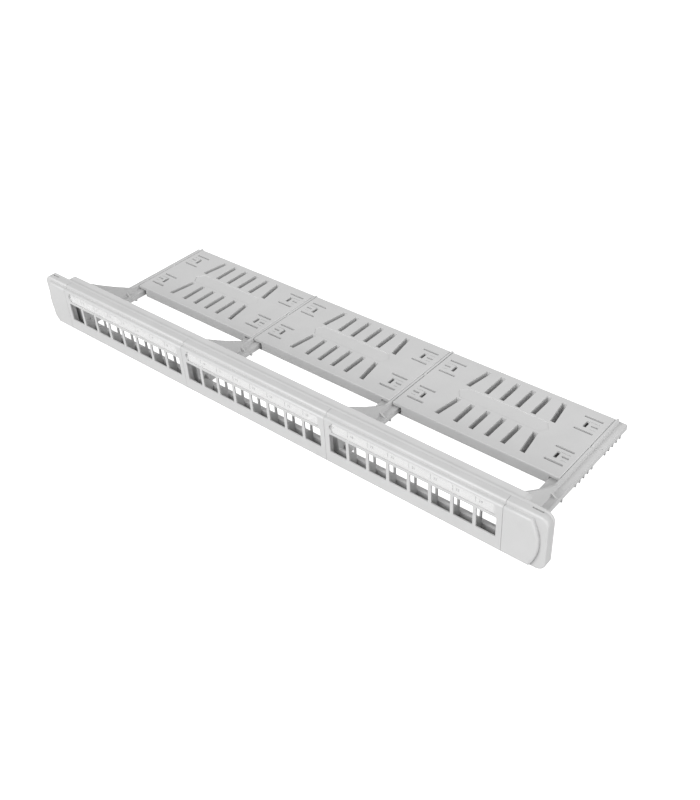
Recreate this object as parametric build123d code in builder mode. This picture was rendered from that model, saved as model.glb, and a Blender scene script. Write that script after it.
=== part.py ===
"""Modular 24-port rack patch panel, one rack unit high, with three cable trays behind it.

Millimetres. X runs along the panel, to the right as seen from the front. Y runs into the rack.
Z is up. The origin is the centre of the four rack holes, on the back face of the mounting ears.
Heights in this file are measured up from the bottom edge of the panel.
"""
from build123d import *
import os

os.makedirs("parts", exist_ok=True)

# ---- Panel -------------------------------------------------------------------------------
PANEL_WIDTH = 482.6
PANEL_HEIGHT = 43.65
BOTTOM = -PANEL_HEIGHT / 2
CORNER_RADIUS = 6.5
RACK_HOLE_SPAN_X = 465.1
RACK_HOLE_SPAN_Z = 31.75
RACK_HOLE_WIDTH = 6.5
RACK_HOLE_LENGTH = 10.3

# ---- Layers, front to back (Y) -----------------------------------------------------------
FASCIA_FRONT = -10.9
BEZEL_FRONT = -7.8
BEZEL_BACK = -2.3
FRAME_FRONT = -2.2
CHANNEL_BACK = 7.0
CHANNEL_WIDTH = 443.0
CHANNEL_LOW = 1.0
CHANNEL_HIGH = 42.6
CHANNEL_WALL = 2.0
CHANNEL_CORNER = 3.0
WINDOW_WIDTH = 133.0
WINDOW_LOW = 9.0
WINDOW_HIGH = 36.0

# ---- Front modules and end covers --------------------------------------------------------
MODULES = 3
PORTS_PER_MODULE = 8
MODULE_PITCH = 141.4
SIDE_GAP = 0.2
FASCIA_INSET = 2.6
FASCIA_EDGE_RADIUS = 1.4
SHELL_WALL = 1.8
FASCIA_WALL = 2.4
PORT_WALL = 1.0
PORT_POCKET = (10.5, 30.2)
END_WALL = 1.5
END_WALL_BACK = -4.8
PORT_PITCH = 16.95
PORT_WIDTH = 14.5
PORT_LOW = 13.3
PORT_HIGH = 29.1
PORT_CORNER = 0.5
DIVIDER_WALL = 1.3
DIVIDER_FRONT_HIGH = 19.0
DIVIDER_BACK_HIGH = 15.5
POST_DEPTH = 1.6
ARC_MIDDLE = 236.8
ARC_END = 231.5
END_COVER_INNER = 1.5 * MODULE_PITCH + SIDE_GAP / 2
COVER_TAB_X = 217.9
COVER_TAB_WIDTH = 2.4
PRY_NOTCH_X = (227.4, 235.2)
PRY_NOTCH_FRONT = -3.6

# ---- Label window ------------------------------------------------------------------------
LABEL_LOW = 31.0
LABEL_HIGH = 39.3
LABEL_LEFT = -64.4
LABEL_RIGHT = 65.0
LABEL_RECESS = 1.2
LABEL_COVER_THICKNESS = 0.8
LABEL_PAPER_THICKNESS = 0.2
LABEL_CLEARANCE = 0.1
LABEL_NOTCH_X = 1.8
LABEL_NOTCH_Z = 2.4

# ---- Locating tabs and the slots they enter ----------------------------------------------
TAB_WIDTH = 8.0
TAB_HEIGHT = 1.6
TAB_LOW = 3.3
TAB_REACH = 2.4
TAB_OFFSET = 33.9
TAB_CLEARANCE = 0.3
TENON_WIDTH = 5.0
TENON_HEIGHT = 2.6
TENON_LEVELS = (4.6, 38.6)
TENON_CLEARANCE = 0.1

# ---- Support arms ------------------------------------------------------------------------
ARMS = MODULES + 1
ARM_WEB = 1.8
ARM_ROOT_LOW = 3.1
ARM_PAD_HALF = 4.0
ARM_PAD_DEPTH = 2.0
HOOK_DEPTH = 1.2
HOOK_RISE = 0.8
ARM_TOP = 9.7
RAIL_LEFT = 9.0
RAIL_RIGHT = 6.3
RAIL_LOW = 1.2
RAIL_HIGH = 5.6
RAIL_START = 7.2
RAIL_END = 143.0
ARM_END = 140.5
GUSSET_HIGH = 39.4
GUSSET_MIDDLE = (33.0, 22.4)
GUSSET_FOOT = 55.5
TOOTH_PITCH = 5.5
TOOTH_WIDTH = 1.2
TOOTH_INWARD = 1.2
TOOTH_OUTWARD = 0.6
TOOTH_HIGH = 2.7
FRONT_TOOTH_Y = 52.5
RIB_THICKNESS = 1.4
RIB_REACH = 5.0
FRONT_RIB_Y = 48.0
FRONT_RIB_HIGH = 9.2
REAR_RIB_Y = 105.7
REAR_RIB_HIGH = 6.3
WEB_NOTCH_Y = (101.5, 104.5)
WEB_NOTCH_DEPTH = 0.6
RAIL_HOLE_X = 5.0
RAIL_HOLE_Y = 109.0
RAIL_HOLE_RADIUS = 0.6

# ---- Cable trays -------------------------------------------------------------------------
TRAY_TOP = 10.0
TRAY_PLATE = 2.0
TRAY_HALF_WIDTH = 69.4
TRAY_FRONT = 61.9
TRAY_BACK = 139.1
TRAY_SKIRT = 1.5
TRAY_SKIRT_LOW = 1.3
TRAY_SIDE_LOW = 5.7
TRAY_NOTCH_INNER = 61.4
TRAY_NOTCH_TOP = 7.4
SLOT_ROWS = (81.6, 121.7)
SLOT_LENGTH = 23.6
SLOT_WIDTH = 4.1
SLOT_PITCH = 13.16
SLOT_WALL = 1.2
END_SLOT_FRONT = 35.8
END_SLOT_BACK = 32.2
TRAY_EDGE_RADIUS = 0.8
PAD_HALF = 38.0
PAD_SHOULDER = 33.6
PAD_MIDDLE = 101.6
PAD_REACH = 6.4
PAD_DEPTH = 0.4
RIB_GAP_Y = (104.6, 106.8)
ANCHOR_SLIT_X = (50.4, 65.0)
ANCHOR_SLIT_Y = (6.8, 8.8)
ANCHOR_EYE_X = (54.6, 57.2)
ANCHOR_EYE_Y = (-3.6, 3.6)
ANCHOR_NICK_X = (59.6, 65.0)
ANCHOR_NICK_Y = (-0.9, 0.9)
ANCHOR_GROOVE_DEPTH = 0.6
ANCHOR_GROOVES = [((56.8, 64.5), (3.5, 4.0)), ((60.7, 64.6), (-3.9, -3.4))]


def front_plane(y):
    """A plane facing forwards at depth y. Local axes: X, and height above the bottom edge."""
    return Plane(origin=(0, y, BOTTOM), x_dir=(1, 0, 0), z_dir=(0, -1, 0))


def side_plane(x):
    """A plane facing +X at x. Local axes: Y, and height above the bottom edge."""
    return Plane(origin=(x, 0, BOTTOM), x_dir=(0, 1, 0), z_dir=(1, 0, 0))


def level_plane(height):
    """A level plane at a height above the bottom edge. Local axes: X and Y."""
    return Plane.XY.offset(BOTTOM + height)


def save(part, name):
    """Label a finished piece and write it under its node name."""
    part.label = name
    export_step(part, f"parts/{name}.step")


def module_centre(number):
    return (number - 2) * MODULE_PITCH


def arm_centre(number):
    return (number - 2.5) * MODULE_PITCH


def bezel_outline(back, inset=0.0, front_wall=0.0):
    """The stepped bezel section, from the front face to back, shrunk inwards by inset."""
    low = inset
    high = PANEL_HEIGHT - inset
    step_low = FASCIA_INSET + inset
    step_high = PANEL_HEIGHT - FASCIA_INSET - inset
    rim = BEZEL_FRONT + inset
    face = FASCIA_FRONT + front_wall
    return [(back, low), (rim, low), (rim, step_low), (face, step_low),
            (face, step_high), (rim, step_high), (rim, high), (back, high)]


def is_outer_corner(vertex):
    """True for the bezel section's two rim corners and two fascia corners (local Y, height)."""
    at_edge = min(vertex.Y, PANEL_HEIGHT - vertex.Y) < 0.01
    at_rim = at_edge and vertex.X < BEZEL_FRONT + 0.01
    return at_rim or vertex.X < FASCIA_FRONT + 0.01


def box(x_range, y_range, height_range, mode=Mode.ADD):
    """A block added to, or cut from, the part being built, given by its three spans."""
    with BuildSketch(level_plane(height_range[0])) as area:
        with Locations((x_range[0], y_range[0])):
            Rectangle(x_range[1] - x_range[0], y_range[1] - y_range[0], align=(Align.MIN, Align.MIN))
    extrude(area.sketch, amount=height_range[1] - height_range[0], mode=mode)


def tab_levels():
    """Height spans of the lower and the upper locating tabs."""
    upper = PANEL_HEIGHT - TAB_LOW
    return [(TAB_LOW, TAB_LOW + TAB_HEIGHT), (upper - TAB_HEIGHT, upper)]


def locating_tabs(tab_places, width):
    """Flat tabs that reach back from the step behind the bezel's rim into the frame."""
    root = BEZEL_FRONT + SHELL_WALL / 2
    for x in tab_places:
        for low, high in tab_levels():
            box((x - width / 2, x + width / 2), (root, TAB_REACH), (low, high))


# ---- Port modules ------------------------------------------------------------------------
def port_divider(x):
    """A low side wall behind the fascia, rising to a full-height post at its back edge."""
    front = FASCIA_FRONT + PORT_WALL
    post_front = BEZEL_BACK - POST_DEPTH
    high = PANEL_HEIGHT - SHELL_WALL
    inner_rim = BEZEL_FRONT + SHELL_WALL
    inner_step = FASCIA_INSET + SHELL_WALL
    with BuildSketch(side_plane(x - DIVIDER_WALL / 2)) as profile:
        Polygon((front, inner_step), (front, DIVIDER_FRONT_HIGH), (post_front, DIVIDER_BACK_HIGH),
                (post_front, high), (BEZEL_BACK, high), (BEZEL_BACK, SHELL_WALL),
                (inner_rim, SHELL_WALL), (inner_rim, inner_step), align=None)
    extrude(profile.sketch, amount=DIVIDER_WALL)


def port_module(number):
    """One eight-port front module: bezel shell, port openings, label recess and dividers."""
    centre = module_centre(number)
    width = MODULE_PITCH - SIDE_GAP
    left = centre - width / 2
    label_middle = (LABEL_LOW + LABEL_HIGH) / 2
    with BuildPart() as module:
        with BuildSketch(side_plane(left)) as section:
            Polygon(*bezel_outline(BEZEL_BACK), align=None)
            fillet(section.vertices().filter_by(is_outer_corner), FASCIA_EDGE_RADIUS)
            Polygon(*bezel_outline(BEZEL_BACK, SHELL_WALL, FASCIA_WALL), align=None, mode=Mode.SUBTRACT)
        extrude(amount=width)
        for wall_x in (left, left + width - END_WALL):
            with BuildSketch(side_plane(wall_x)):
                Polygon(*bezel_outline(END_WALL_BACK, SHELL_WALL / 2, FASCIA_WALL / 2), align=None)
            extrude(amount=END_WALL)
        with BuildSketch(front_plane(FASCIA_FRONT)):
            with Locations((centre, (PORT_LOW + PORT_HIGH) / 2)):
                with GridLocations(PORT_PITCH, 0, PORTS_PER_MODULE, 1):
                    RectangleRounded(PORT_WIDTH, PORT_HIGH - PORT_LOW, PORT_CORNER)
        extrude(amount=-FASCIA_WALL, mode=Mode.SUBTRACT)
        box((left + END_WALL, left + width - END_WALL),
            (FASCIA_FRONT + PORT_WALL, FASCIA_FRONT + FASCIA_WALL), PORT_POCKET, mode=Mode.SUBTRACT)
        with BuildSketch(front_plane(FASCIA_FRONT)):
            with Locations((centre + (LABEL_LEFT + LABEL_RIGHT) / 2, label_middle)):
                Rectangle(LABEL_RIGHT - LABEL_LEFT, LABEL_HIGH - LABEL_LOW)
            with Locations((centre + LABEL_LEFT, label_middle)):
                Ellipse(LABEL_NOTCH_X, LABEL_NOTCH_Z)
        extrude(amount=-LABEL_RECESS, mode=Mode.SUBTRACT)
        for divider in range(1, PORTS_PER_MODULE):
            port_divider(centre + (divider - PORTS_PER_MODULE / 2) * PORT_PITCH)
        locating_tabs([centre - TAB_OFFSET, centre + TAB_OFFSET], TAB_WIDTH)
    return module.part


for number in range(1, MODULES + 1):
    save(port_module(number), f"port_module_{number}")


# ---- Label strips and their clear covers -------------------------------------------------
def label_sheet(number, front, thickness):
    """A flat strip lying in a module's label recess."""
    middle_x = module_centre(number) + (LABEL_LEFT + LABEL_RIGHT) / 2
    with BuildPart() as sheet:
        with BuildSketch(front_plane(front)):
            with Locations((middle_x, (LABEL_LOW + LABEL_HIGH) / 2)):
                Rectangle(LABEL_RIGHT - LABEL_LEFT - 2 * LABEL_CLEARANCE,
                          LABEL_HIGH - LABEL_LOW - 2 * LABEL_CLEARANCE)
        extrude(amount=-thickness)
    return sheet.part


for number in range(1, MODULES + 1):
    paper_front = FASCIA_FRONT + LABEL_RECESS - LABEL_PAPER_THICKNESS
    save(label_sheet(number, paper_front, LABEL_PAPER_THICKNESS), f"label_strip_{number}")
    save(label_sheet(number, FASCIA_FRONT, LABEL_COVER_THICKNESS), f"label_cover_{number}")


# ---- End covers --------------------------------------------------------------------------
def end_cover():
    """The right-hand cover over the rack screws: rim, arc-edged raised panel, hollow back."""
    edge = PANEL_WIDTH / 2
    low, high = FASCIA_INSET, PANEL_HEIGHT - FASCIA_INSET
    inner = END_COVER_INNER + END_WALL
    with BuildPart() as cover:
        with BuildSketch(front_plane(BEZEL_BACK)) as rim:
            with Locations((END_COVER_INNER, 0)):
                Rectangle(edge - END_COVER_INNER, PANEL_HEIGHT, align=(Align.MIN, Align.MIN))
            fillet(rim.vertices().filter_by(lambda v: v.X > edge - 0.01), CORNER_RADIUS)
        extrude(amount=BEZEL_BACK - BEZEL_FRONT)
        rim_edges = cover.faces().sort_by(Axis.Y)[0].edges()
        fillet(rim_edges.filter_by(lambda e: e.center().X > END_COVER_INNER + 0.1), FASCIA_EDGE_RADIUS)
        with BuildSketch(front_plane(BEZEL_FRONT)):
            with BuildLine():
                Polyline((ARC_END, high), (END_COVER_INNER, high), (END_COVER_INNER, low), (ARC_END, low))
                ThreePointArc((ARC_END, low), (ARC_MIDDLE, PANEL_HEIGHT / 2), (ARC_END, high))
            make_face()
        extrude(amount=BEZEL_FRONT - FASCIA_FRONT)
        face_edges = cover.faces().sort_by(Axis.Y)[0].edges()
        fillet(face_edges.filter_by(lambda e: e.center().X > END_COVER_INNER + 0.1), FASCIA_EDGE_RADIUS)
        with BuildSketch(front_plane(BEZEL_BACK)) as hollow:
            with Locations((inner, SHELL_WALL)):
                Rectangle(edge - SHELL_WALL - inner, PANEL_HEIGHT - 2 * SHELL_WALL,
                          align=(Align.MIN, Align.MIN))
            hollow_corners = hollow.vertices().filter_by(lambda v: v.X > edge - SHELL_WALL - 0.01)
            fillet(hollow_corners, CORNER_RADIUS - SHELL_WALL)
        extrude(amount=BEZEL_BACK - BEZEL_FRONT - SHELL_WALL, mode=Mode.SUBTRACT)
        box((inner, ARC_END - SHELL_WALL), (FASCIA_FRONT + FASCIA_WALL, BEZEL_FRONT + SHELL_WALL),
            (low + SHELL_WALL, high - SHELL_WALL), mode=Mode.SUBTRACT)
        box(PRY_NOTCH_X, (PRY_NOTCH_FRONT, BEZEL_BACK), (PANEL_HEIGHT - SHELL_WALL, PANEL_HEIGHT),
            mode=Mode.SUBTRACT)
        box((END_COVER_INNER, inner), (END_WALL_BACK, BEZEL_BACK),
            (SHELL_WALL, PANEL_HEIGHT - SHELL_WALL), mode=Mode.SUBTRACT)
        locating_tabs([COVER_TAB_X], COVER_TAB_WIDTH)
    return cover.part


save(end_cover(), "end_cover_right")
save(mirror(end_cover(), about=Plane.YZ), "end_cover_left")


# ---- Frame -------------------------------------------------------------------------------
def frame():
    """The back plate with rack ears and three port windows, and the channel behind it."""
    module_tabs = [module_centre(number) + side * TAB_OFFSET
                   for number in range(1, MODULES + 1) for side in (-1, 1)]
    arm_places = [arm_centre(number) for number in range(1, ARMS + 1)]
    plate = -FRAME_FRONT
    with BuildPart() as body:
        with BuildSketch(front_plane(0)):
            with Locations((0, PANEL_HEIGHT / 2)):
                RectangleRounded(PANEL_WIDTH, PANEL_HEIGHT, CORNER_RADIUS)
        extrude(amount=plate)
        with BuildSketch(front_plane(CHANNEL_BACK)):
            with Locations((0, (CHANNEL_LOW + CHANNEL_HIGH) / 2)):
                RectangleRounded(CHANNEL_WIDTH, CHANNEL_HIGH - CHANNEL_LOW, CHANNEL_CORNER)
                inner_width = CHANNEL_WIDTH - 2 * CHANNEL_WALL
                inner_height = CHANNEL_HIGH - CHANNEL_LOW - 2 * CHANNEL_WALL
                RectangleRounded(inner_width, inner_height, CHANNEL_CORNER - CHANNEL_WALL,
                                 mode=Mode.SUBTRACT)
        extrude(amount=CHANNEL_BACK)
        with BuildSketch(front_plane(0)):
            with Locations((0, (WINDOW_LOW + WINDOW_HIGH) / 2)):
                with GridLocations(MODULE_PITCH, 0, MODULES, 1):
                    RectangleRounded(WINDOW_WIDTH, WINDOW_HIGH - WINDOW_LOW, PORT_CORNER)
            with Locations((0, PANEL_HEIGHT / 2)):
                with GridLocations(RACK_HOLE_SPAN_X, RACK_HOLE_SPAN_Z, 2, 2):
                    SlotOverall(RACK_HOLE_LENGTH, RACK_HOLE_WIDTH)
            for low, high in tab_levels():
                with Locations([(x, (low + high) / 2) for x in module_tabs]):
                    Rectangle(TAB_WIDTH + 2 * TAB_CLEARANCE, TAB_HEIGHT + 2 * TAB_CLEARANCE)
                with Locations([(side * COVER_TAB_X, (low + high) / 2) for side in (-1, 1)]):
                    Rectangle(COVER_TAB_WIDTH + 2 * TAB_CLEARANCE, TAB_HEIGHT + 2 * TAB_CLEARANCE)
            for level in TENON_LEVELS:
                with Locations([(x, level) for x in arm_places]):
                    Rectangle(TENON_WIDTH + 2 * TENON_CLEARANCE, TENON_HEIGHT + 2 * TENON_CLEARANCE)
        extrude(amount=plate, mode=Mode.SUBTRACT)
    return body.part


save(frame(), "frame")


# ---- Support arms ------------------------------------------------------------------------
def arm_web(x):
    """The upright web: full height inside the channel, a curved gusset, then a low rail."""
    with BuildSketch(side_plane(x - ARM_WEB / 2)) as profile:
        with BuildLine():
            Polyline((GUSSET_FOOT, ARM_TOP), (ARM_END, ARM_TOP), (ARM_END, RAIL_LOW),
                     (RAIL_START, RAIL_LOW), (RAIL_START, ARM_ROOT_LOW),
                     (0, ARM_ROOT_LOW), (0, GUSSET_HIGH), (CHANNEL_BACK, GUSSET_HIGH))
            ThreePointArc((CHANNEL_BACK, GUSSET_HIGH), GUSSET_MIDDLE, (GUSSET_FOOT, ARM_TOP))
        make_face()
    extrude(profile.sketch, amount=ARM_WEB)


def arm_rib(x, centre_y, high):
    """A thin triangular fillet across the rail, on both sides of the web."""
    with BuildSketch(front_plane(centre_y + RIB_THICKNESS / 2)) as profile:
        Polygon((x - RIB_REACH, RAIL_HIGH), (x + RIB_REACH, RAIL_HIGH), (x, high), align=None)
    extrude(profile.sketch, amount=RIB_THICKNESS)


def support_arm(number):
    """One arm: hooked tenons in the frame, a web, and a solid rail with teeth along its foot."""
    x = arm_centre(number)
    with BuildPart() as arm:
        arm_web(x)
        box((x - ARM_PAD_HALF, x + ARM_PAD_HALF), (0, ARM_PAD_DEPTH), (ARM_ROOT_LOW, GUSSET_HIGH))
        for level in TENON_LEVELS:
            low, high = level - TENON_HEIGHT / 2, level + TENON_HEIGHT / 2
            tenon_x = (x - TENON_WIDTH / 2, x + TENON_WIDTH / 2)
            box(tenon_x, (FRAME_FRONT - HOOK_DEPTH, 0), (low, high))
            hook = (high, high + HOOK_RISE) if level > PANEL_HEIGHT / 2 else (low - HOOK_RISE, low)
            box(tenon_x, (FRAME_FRONT - HOOK_DEPTH, FRAME_FRONT), hook)
        box((x - RAIL_LEFT, x + RAIL_RIGHT), (RAIL_START, RAIL_END), (RAIL_LOW, RAIL_HIGH))
        arm_rib(x, FRONT_RIB_Y, FRONT_RIB_HIGH)
        arm_rib(x, REAR_RIB_Y, REAR_RIB_HIGH)
        for centre_y in (FRONT_TOOTH_Y, *tooth_places()):
            for side, reach in ((-1, RAIL_LEFT), (1, RAIL_RIGHT)):
                tooth_x = sorted((x + side * (reach - TOOTH_INWARD), x + side * (reach + TOOTH_OUTWARD)))
                box(tooth_x, (centre_y - TOOTH_WIDTH / 2, centre_y + TOOTH_WIDTH / 2), (0, TOOTH_HIGH))
        box((x - ARM_WEB, x + ARM_WEB), WEB_NOTCH_Y, (ARM_TOP - WEB_NOTCH_DEPTH, ARM_TOP),
            mode=Mode.SUBTRACT)
        with BuildSketch(level_plane(RAIL_LOW)):
            with Locations([(x - RAIL_HOLE_X, RAIL_HOLE_Y), (x + RAIL_HOLE_X, RAIL_HOLE_Y)]):
                Circle(RAIL_HOLE_RADIUS)
        extrude(amount=RAIL_HIGH - RAIL_LOW, mode=Mode.SUBTRACT)
    return arm.part


def tooth_places():
    """Y of the teeth along the rail: five beside each of the tray's slot rows."""
    return [row + step * TOOTH_PITCH for row in SLOT_ROWS for step in range(-2, 3)]


for number in range(1, ARMS + 1):
    save(support_arm(number), f"support_arm_{number}")


# ---- Cable trays -------------------------------------------------------------------------
def slot_shape(centre_x, row_y, grow):
    """The corners of one cable-tie slot. The first and last slot of a row lean inwards."""
    half = SLOT_WIDTH / 2 + grow
    reach = SLOT_LENGTH / 2 + grow
    front_x, back_x = centre_x
    return [(front_x - half, row_y - reach), (front_x + half, row_y - reach),
            (back_x + half, row_y + reach), (back_x - half, row_y + reach)]


def slot_places(tray_x):
    """Front and back X of each slot in a row."""
    straight = [tray_x + (step - 1.5) * SLOT_PITCH for step in range(4)]
    places = [(x, x) for x in straight]
    for side in (-1, 1):
        places.append((tray_x + side * END_SLOT_FRONT, tray_x + side * END_SLOT_BACK))
    return places


def slots(tray_x, grow):
    """Every slot outline of a tray, grown outwards, in the sketch being drawn."""
    for row_y in SLOT_ROWS:
        for place in slot_places(tray_x):
            Polygon(*slot_shape(place, row_y, grow), align=None)


def tie_anchor(tray_x, side, row_y):
    """Cuts that leave a tongue for a cable tie: two long slits, an eye, a nick and two grooves."""
    def cut(x_span, y_span, depth):
        x_range = sorted((tray_x + side * x_span[0], tray_x + side * x_span[1]))
        y_range = (row_y + y_span[0], row_y + y_span[1])
        box(x_range, y_range, (TRAY_TOP - depth, TRAY_TOP), mode=Mode.SUBTRACT)

    near, far = ANCHOR_SLIT_Y
    cut(ANCHOR_SLIT_X, (near, far), TRAY_PLATE)
    cut(ANCHOR_SLIT_X, (-far, -near), TRAY_PLATE)
    cut(ANCHOR_EYE_X, ANCHOR_EYE_Y, TRAY_PLATE)
    cut(ANCHOR_NICK_X, ANCHOR_NICK_Y, TRAY_PLATE)
    for x_span, y_span in ANCHOR_GROOVES:
        cut(x_span, y_span, ANCHOR_GROOVE_DEPTH)


def cable_tray(number):
    """One tray: skirted plate with two rows of slots and four cable-tie anchors."""
    x = module_centre(number)
    left, right = x - TRAY_HALF_WIDTH, x + TRAY_HALF_WIDTH
    under = TRAY_TOP - TRAY_PLATE
    with BuildPart() as tray:
        box((left, right), (TRAY_FRONT, TRAY_BACK), (under, TRAY_TOP))
        top_edges = tray.faces().sort_by(Axis.Z)[-1].edges()
        fillet(top_edges, TRAY_EDGE_RADIUS)
        for front in (TRAY_FRONT, TRAY_BACK - TRAY_SKIRT):
            box((left, right), (front, front + TRAY_SKIRT), (TRAY_NOTCH_TOP, under))
            box((x - TRAY_NOTCH_INNER, x + TRAY_NOTCH_INNER), (front, front + TRAY_SKIRT),
                (TRAY_SKIRT_LOW, TRAY_NOTCH_TOP))
        for side_x in (left, right - TRAY_SKIRT):
            for start, end in ((TRAY_FRONT, RIB_GAP_Y[0]), (RIB_GAP_Y[1], TRAY_BACK)):
                box((side_x, side_x + TRAY_SKIRT), (start + TRAY_SKIRT, end - TRAY_SKIRT),
                    (TRAY_SIDE_LOW, under))
        with BuildSketch(level_plane(TRAY_SKIRT_LOW)):
            slots(x, SLOT_WALL)
        extrude(amount=under - TRAY_SKIRT_LOW)
        with BuildSketch(level_plane(TRAY_SKIRT_LOW)):
            slots(x, 0)
        extrude(amount=TRAY_TOP - TRAY_SKIRT_LOW, mode=Mode.SUBTRACT)
        with BuildSketch(level_plane(TRAY_TOP - PAD_DEPTH)):
            Polygon((x - PAD_HALF, PAD_MIDDLE), (x - PAD_SHOULDER, PAD_MIDDLE - PAD_REACH),
                    (x + PAD_SHOULDER, PAD_MIDDLE - PAD_REACH), (x + PAD_HALF, PAD_MIDDLE),
                    (x + PAD_SHOULDER, PAD_MIDDLE + PAD_REACH), (x - PAD_SHOULDER, PAD_MIDDLE + PAD_REACH),
                    align=None)
        extrude(amount=PAD_DEPTH, mode=Mode.SUBTRACT)
        for side in (-1, 1):
            for row_y in SLOT_ROWS:
                tie_anchor(x, side, row_y)
    return tray.part


for number in range(1, MODULES + 1):
    save(cable_tray(number), f"cable_tray_{number}")
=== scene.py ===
"""Looks of the modular patch panel: light grey moulded plastic, printed label strips, clear covers."""
import math

import bpy
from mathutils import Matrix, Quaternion, Vector


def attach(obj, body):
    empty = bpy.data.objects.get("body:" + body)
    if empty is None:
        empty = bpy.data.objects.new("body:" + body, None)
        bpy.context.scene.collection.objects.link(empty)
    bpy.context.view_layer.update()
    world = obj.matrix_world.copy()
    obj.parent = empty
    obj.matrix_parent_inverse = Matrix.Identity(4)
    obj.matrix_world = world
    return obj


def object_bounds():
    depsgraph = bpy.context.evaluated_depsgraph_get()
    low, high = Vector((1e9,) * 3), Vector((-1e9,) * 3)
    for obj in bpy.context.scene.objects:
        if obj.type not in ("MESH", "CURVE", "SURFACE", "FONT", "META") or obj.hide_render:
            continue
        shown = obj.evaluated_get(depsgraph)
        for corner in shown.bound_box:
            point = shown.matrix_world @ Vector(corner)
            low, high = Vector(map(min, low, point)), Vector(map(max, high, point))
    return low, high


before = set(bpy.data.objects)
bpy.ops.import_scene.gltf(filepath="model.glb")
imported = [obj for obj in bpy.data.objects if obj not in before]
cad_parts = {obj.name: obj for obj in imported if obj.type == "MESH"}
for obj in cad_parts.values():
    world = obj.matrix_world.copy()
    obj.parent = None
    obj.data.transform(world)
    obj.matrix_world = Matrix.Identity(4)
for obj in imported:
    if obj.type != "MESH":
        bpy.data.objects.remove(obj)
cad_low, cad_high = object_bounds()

MM = 0.001
MODULES = 3
PORTS_PER_MODULE = 8

# ---- Camera: where it looks, from which side, and how far away ------------------------------
AIM = Vector((0.0561, 0.0333, 0.0))
AZIMUTH = math.radians(41.8)
ELEVATION = math.radians(37.69)
ROLL = math.radians(-3.39)
DISTANCE = 0.7017
LENS_MM = 44.15
NEAREST_SEEN = 0.01
FURTHEST_SEEN = 20

# ---- Edge rounding ---------------------------------------------------------------------------
EDGE_RADIUS = 0.18 * MM
EDGE_STEPS = 2
SHARP_ANGLE = math.radians(40)
FLAT_ANGLE = math.radians(0.5)
WELD_REACH = 0.001 * MM

# ---- Colours (pairs are darkest and lightest) and the sizes of the surfaces' patterns --------
BODY_GREY = (0.585, 0.585, 0.585)
FRONT_GREY = (0.55, 0.55, 0.55)
FLOW_MARK_SIZE = 22 * MM
FLOW_MARK_DARKEST = 0.975
FLOW_MARK_LIGHTEST = 1.02
GLOSS_PATCH_SIZE = 1.4 * MM
GLOSS_CHANGE = 0.05
GRAIN_SIZE = 0.35 * MM
GRAIN_DEPTH = 0.008 * MM
CARD_COLOURS = ((0.75, 0.75, 0.748), (0.77, 0.77, 0.768))
FIBRE_SIZE = 0.5 * MM
WINDOW_GREY = (0.82, 0.82, 0.82, 1)
WINDOW_ALPHA = 0.2
HAZE_SIZE = 3 * MM
INK_COLOURS = ((0.10, 0.10, 0.105), (0.14, 0.14, 0.145))
INK_PATCH_SIZE = 0.2 * MM
FLOOR_COLOURS = ((0.60, 0.60, 0.60), (0.64, 0.64, 0.64))
FLOOR_PATCH_SIZE = 120 * MM


def direction(azimuth, elevation):
    """The unit vector from the aim point towards a place round the object."""
    return Vector((math.sin(azimuth) * math.cos(elevation), -math.cos(azimuth) * math.cos(elevation),
                   math.sin(elevation)))


def add_camera():
    """The camera at the chosen azimuth, elevation, roll and distance from its aim point."""
    data = bpy.data.cameras.new("camera")
    data.lens = LENS_MM
    camera = bpy.data.objects.new("camera", data)
    bpy.context.scene.collection.objects.link(camera)
    back = direction(AZIMUTH, ELEVATION)
    camera.location = AIM + back * DISTANCE
    camera.rotation_mode = "QUATERNION"
    camera.rotation_quaternion = (-back).to_track_quat("-Z", "Y") @ Quaternion((0, 0, 1), ROLL)
    data.clip_start = NEAREST_SEEN
    data.clip_end = FURTHEST_SEEN
    bpy.context.scene.camera = camera


add_camera()


# ---- Materials -------------------------------------------------------------------------------
def new_material(name):
    """An empty node material: its node tree, its principled shader and its object coordinates."""
    material = bpy.data.materials.new(name)
    material.use_nodes = True
    tree = material.node_tree
    shader = tree.nodes["Principled BSDF"]
    coordinates = tree.nodes.new("ShaderNodeTexCoord").outputs["Object"]
    return material, tree, shader, coordinates


def noise(tree, coordinates, size, detail=2.0, roughness=0.5):
    """A noise pattern whose features are about size metres across."""
    node = tree.nodes.new("ShaderNodeTexNoise")
    node.inputs["Scale"].default_value = 1 / size
    node.inputs["Detail"].default_value = detail
    node.inputs["Roughness"].default_value = roughness
    tree.links.new(coordinates, node.inputs["Vector"])
    return node.outputs["Fac"]


def spread(tree, factor, low, high):
    """Maps the noise's middle range onto low to high."""
    node = tree.nodes.new("ShaderNodeMapRange")
    node.inputs["From Min"].default_value = 0.3
    node.inputs["From Max"].default_value = 0.7
    node.inputs["To Min"].default_value = low
    node.inputs["To Max"].default_value = high
    tree.links.new(factor, node.inputs["Value"])
    return node.outputs["Result"]


def tint(tree, factor, dark, light):
    """A colour between two greys, chosen by a factor."""
    node = tree.nodes.new("ShaderNodeMix")
    node.data_type = "RGBA"
    node.inputs["A"].default_value = (*dark, 1)
    node.inputs["B"].default_value = (*light, 1)
    tree.links.new(factor, node.inputs["Factor"])
    return node.outputs["Result"]


def add_bump(tree, shader, height, distance):
    """A bump of the given height in metres on the shader's normal."""
    node = tree.nodes.new("ShaderNodeBump")
    node.inputs["Distance"].default_value = distance
    tree.links.new(height, node.inputs["Height"])
    tree.links.new(node.outputs["Normal"], shader.inputs["Normal"])


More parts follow.
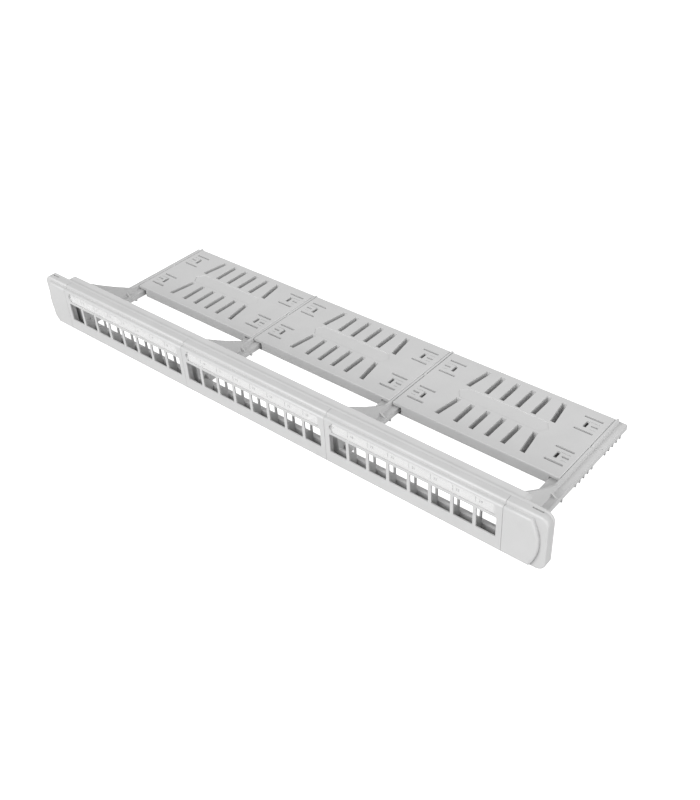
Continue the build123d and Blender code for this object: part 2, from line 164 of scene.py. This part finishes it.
def moulded_plastic(name, grey, roughness):
    """Light grey plastic with a spark-eroded grain, faint flow marks and uneven gloss."""
    material, tree, shader, coordinates = new_material(name)
    marks = spread(tree, noise(tree, coordinates, FLOW_MARK_SIZE, 3, 0.6), 0, 1)
    dark = tuple(channel * FLOW_MARK_DARKEST for channel in grey)
    light = tuple(channel * FLOW_MARK_LIGHTEST for channel in grey)
    tree.links.new(tint(tree, marks, dark, light), shader.inputs["Base Color"])
    gloss = noise(tree, coordinates, GLOSS_PATCH_SIZE, 3, 0.6)
    uneven = spread(tree, gloss, roughness - GLOSS_CHANGE, roughness + GLOSS_CHANGE)
    tree.links.new(uneven, shader.inputs["Roughness"])
    shader.inputs["IOR"].default_value = 1.5
    grain = noise(tree, coordinates, GRAIN_SIZE, 3, 0.65)
    add_bump(tree, shader, grain, GRAIN_DEPTH)
    return material


def label_card():
    """Off-white card with a faint fibre mottle."""
    material, tree, shader, coordinates = new_material("label_card")
    fibres = spread(tree, noise(tree, coordinates, FIBRE_SIZE, 3, 0.6), 0, 1)
    tree.links.new(tint(tree, fibres, *CARD_COLOURS), shader.inputs["Base Color"])
    shader.inputs["Roughness"].default_value = 0.7
    return material


def clear_plastic():
    """Clear, slightly hazy window plastic."""
    material, tree, shader, coordinates = new_material("clear_cover")
    shader.inputs["Base Color"].default_value = WINDOW_GREY
    shader.inputs["Alpha"].default_value = WINDOW_ALPHA
    haze = noise(tree, coordinates, HAZE_SIZE)
    tree.links.new(spread(tree, haze, 0.10, 0.16), shader.inputs["Roughness"])
    shader.inputs["IOR"].default_value = 1.49
    return material


def printing_ink():
    """Dark grey printed ink, a little uneven."""
    material, tree, shader, coordinates = new_material("printing_ink")
    cover = spread(tree, noise(tree, coordinates, INK_PATCH_SIZE), 0, 1)
    tree.links.new(tint(tree, cover, *INK_COLOURS), shader.inputs["Base Color"])
    shader.inputs["Roughness"].default_value = 0.6
    return material


front_plastic = moulded_plastic("front_plastic", FRONT_GREY, 0.42)
frame_plastic = moulded_plastic("frame_plastic", BODY_GREY, 0.48)
arm_plastic = moulded_plastic("arm_plastic", BODY_GREY, 0.5)
tray_plastic = moulded_plastic("tray_plastic", BODY_GREY, 0.5)
card = label_card()
window = clear_plastic()
ink = printing_ink()

FINISHES = {"frame": frame_plastic, "support_arm": arm_plastic, "port_module": front_plastic,
            "end_cover": front_plastic, "cable_tray": tray_plastic, "label_strip": card,
            "label_cover": window}


def dress(node, finish):
    """Gives a CAD node its material and rounds its sharp edges a little."""
    node.data.materials.clear()
    node.data.materials.append(finish)
    weld = node.modifiers.new("weld", "WELD")
    weld.merge_threshold = WELD_REACH
    flat = node.modifiers.new("flat", "DECIMATE")
    flat.decimate_type = "DISSOLVE"
    flat.angle_limit = FLAT_ANGLE
    bevel = node.modifiers.new("bevel", "BEVEL")
    bevel.width = EDGE_RADIUS
    bevel.segments = EDGE_STEPS
    bevel.limit_method = "ANGLE"
    bevel.angle_limit = SHARP_ANGLE
    bevel.harden_normals = True


for name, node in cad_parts.items():
    kind = next(kind for kind in FINISHES if name.startswith(kind))
    if kind in ("label_strip", "label_cover"):
        node.data.materials.clear()
        node.data.materials.append(FINISHES[kind])
    else:
        dress(node, FINISHES[kind])


# ---- Printing on the label strips ------------------------------------------------------------
BOTTOM = -21.825 * MM
PRINT_Y = -9.95 * MM
MODULE_PITCH = 141.4 * MM
PORT_PITCH = 16.95 * MM
DIGIT_SIZE = 2.9 * MM
DIGIT_LOW = 34.3 * MM
DIGIT_INSET = 2.2 * MM
TICK_WIDTH = 0.3 * MM
TICK_LOW = 33.1 * MM
TICK_HIGH = 37.4 * MM


def text_shape(text):
    """The vertices and faces of a piece of text, lying in X and Y, in metres."""
    curve = bpy.data.curves.new("text", "FONT")
    curve.body = text
    curve.size = DIGIT_SIZE
    carrier = bpy.data.objects.new("text", curve)
    mesh = bpy.data.meshes.new_from_object(carrier)
    corners = [vertex.co.copy() for vertex in mesh.vertices]
    faces = [tuple(face.vertices) for face in mesh.polygons]
    bpy.data.objects.remove(carrier)
    bpy.data.curves.remove(curve)
    bpy.data.meshes.remove(mesh)
    return corners, faces


def label_print(module):
    """The port numbers and the tick marks between them on one module's label strip."""
    corners = []
    faces = []
    left = (module - 2) * MODULE_PITCH - PORTS_PER_MODULE / 2 * PORT_PITCH
    for port in range(PORTS_PER_MODULE):
        port_left = left + port * PORT_PITCH
        number = (module - 1) * PORTS_PER_MODULE + port + 1
        shape, shape_faces = text_shape(str(number))
        first = len(corners)
        corners += [(port_left + DIGIT_INSET + at.x, PRINT_Y, BOTTOM + DIGIT_LOW + at.y) for at in shape]
        faces += [tuple(first + index for index in face) for face in shape_faces]
        if port > 0:
            first = len(corners)
            for side, height in ((-1, TICK_LOW), (1, TICK_LOW), (1, TICK_HIGH), (-1, TICK_HIGH)):
                corners.append((port_left + side * TICK_WIDTH / 2, PRINT_Y, BOTTOM + height))
            faces.append((first, first + 1, first + 2, first + 3))
    mesh = bpy.data.meshes.new(f"label_print_{module}")
    mesh.from_pydata(corners, [], faces)
    mesh.materials.append(ink)
    piece = bpy.data.objects.new(f"label_print_{module}", mesh)
    bpy.context.scene.collection.objects.link(piece)
    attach(piece, f"module_{module}")


for module in range(1, MODULES + 1):
    label_print(module)


# ---- Floor and light -------------------------------------------------------------------------
FLOOR_REACH = 6.0
SHADE_HALF_WIDTH = 205 * MM
SHADE_FRONT = 63 * MM
SHADE_BACK = 138 * MM
SKY = 0.52
LAMP_DISTANCE = 2.5
LAMP_SIZE = 1.5
# Each lamp's azimuth and elevation, and its power in watts.
KEY = (math.radians(-8), math.radians(35), 53)
FILL = (math.radians(95), math.radians(20), 28)


def floor_paper(name, glow):
    """White paper that bounces light. With glow, it also looks pure white to the eye."""
    material, tree, shader, coordinates = new_material(name)
    paper = spread(tree, noise(tree, coordinates, FLOOR_PATCH_SIZE), 0, 1)
    tree.links.new(tint(tree, paper, *FLOOR_COLOURS), shader.inputs["Base Color"])
    shader.inputs["Roughness"].default_value = 0.9
    shader.inputs["Specular IOR Level"].default_value = 0.0
    if glow:
        shader.inputs["Emission Color"].default_value = (1, 1, 1, 1)
        seen = tree.nodes.new("ShaderNodeLightPath").outputs["Is Camera Ray"]
        tree.links.new(seen, shader.inputs["Emission Strength"])
    return material


def add_floor():
    """A wide floor in nine tiles. The middle one, under the trays, is left in their shade."""
    across = (-FLOOR_REACH, -SHADE_HALF_WIDTH, SHADE_HALF_WIDTH, FLOOR_REACH)
    deep = (-FLOOR_REACH, SHADE_FRONT, SHADE_BACK, FLOOR_REACH)
    mesh = bpy.data.meshes.new("floor")
    corners = [(x, y, cad_low.z) for y in deep for x in across]
    tiles = [(row * 4 + column, row * 4 + column + 1, row * 4 + column + 5, row * 4 + column + 4)
             for row in range(3) for column in range(3)]
    mesh.from_pydata(corners, [], tiles)
    mesh.materials.append(floor_paper("floor", True))
    mesh.materials.append(floor_paper("floor_shade", False))
    middle_tile = 4
    mesh.polygons[middle_tile].material_index = 1
    floor = bpy.data.objects.new("floor", mesh)
    bpy.context.scene.collection.objects.link(floor)


def add_lamp(name, azimuth, elevation, power):
    """A large soft square light, facing the object from the given side."""
    towards = direction(azimuth, elevation)
    data = bpy.data.lights.new(name, "AREA")
    data.shape = "SQUARE"
    data.size = LAMP_SIZE
    data.energy = power
    light = bpy.data.objects.new(name, data)
    light.location = AIM + towards * LAMP_DISTANCE
    light.rotation_mode = "QUATERNION"
    light.rotation_quaternion = (-towards).to_track_quat("-Z", "Y")
    bpy.context.scene.collection.objects.link(light)


def add_sky():
    """An even white sky."""
    world = bpy.data.worlds.new("world")
    world.use_nodes = True
    background = world.node_tree.nodes["Background"]
    background.inputs["Color"].default_value = (1, 1, 1, 1)
    background.inputs["Strength"].default_value = SKY
    bpy.context.scene.world = world


add_floor()
add_sky()
add_lamp("key", *KEY)
add_lamp("fill", *FILL)
bpy.context.scene.view_settings.view_transform = "Standard"
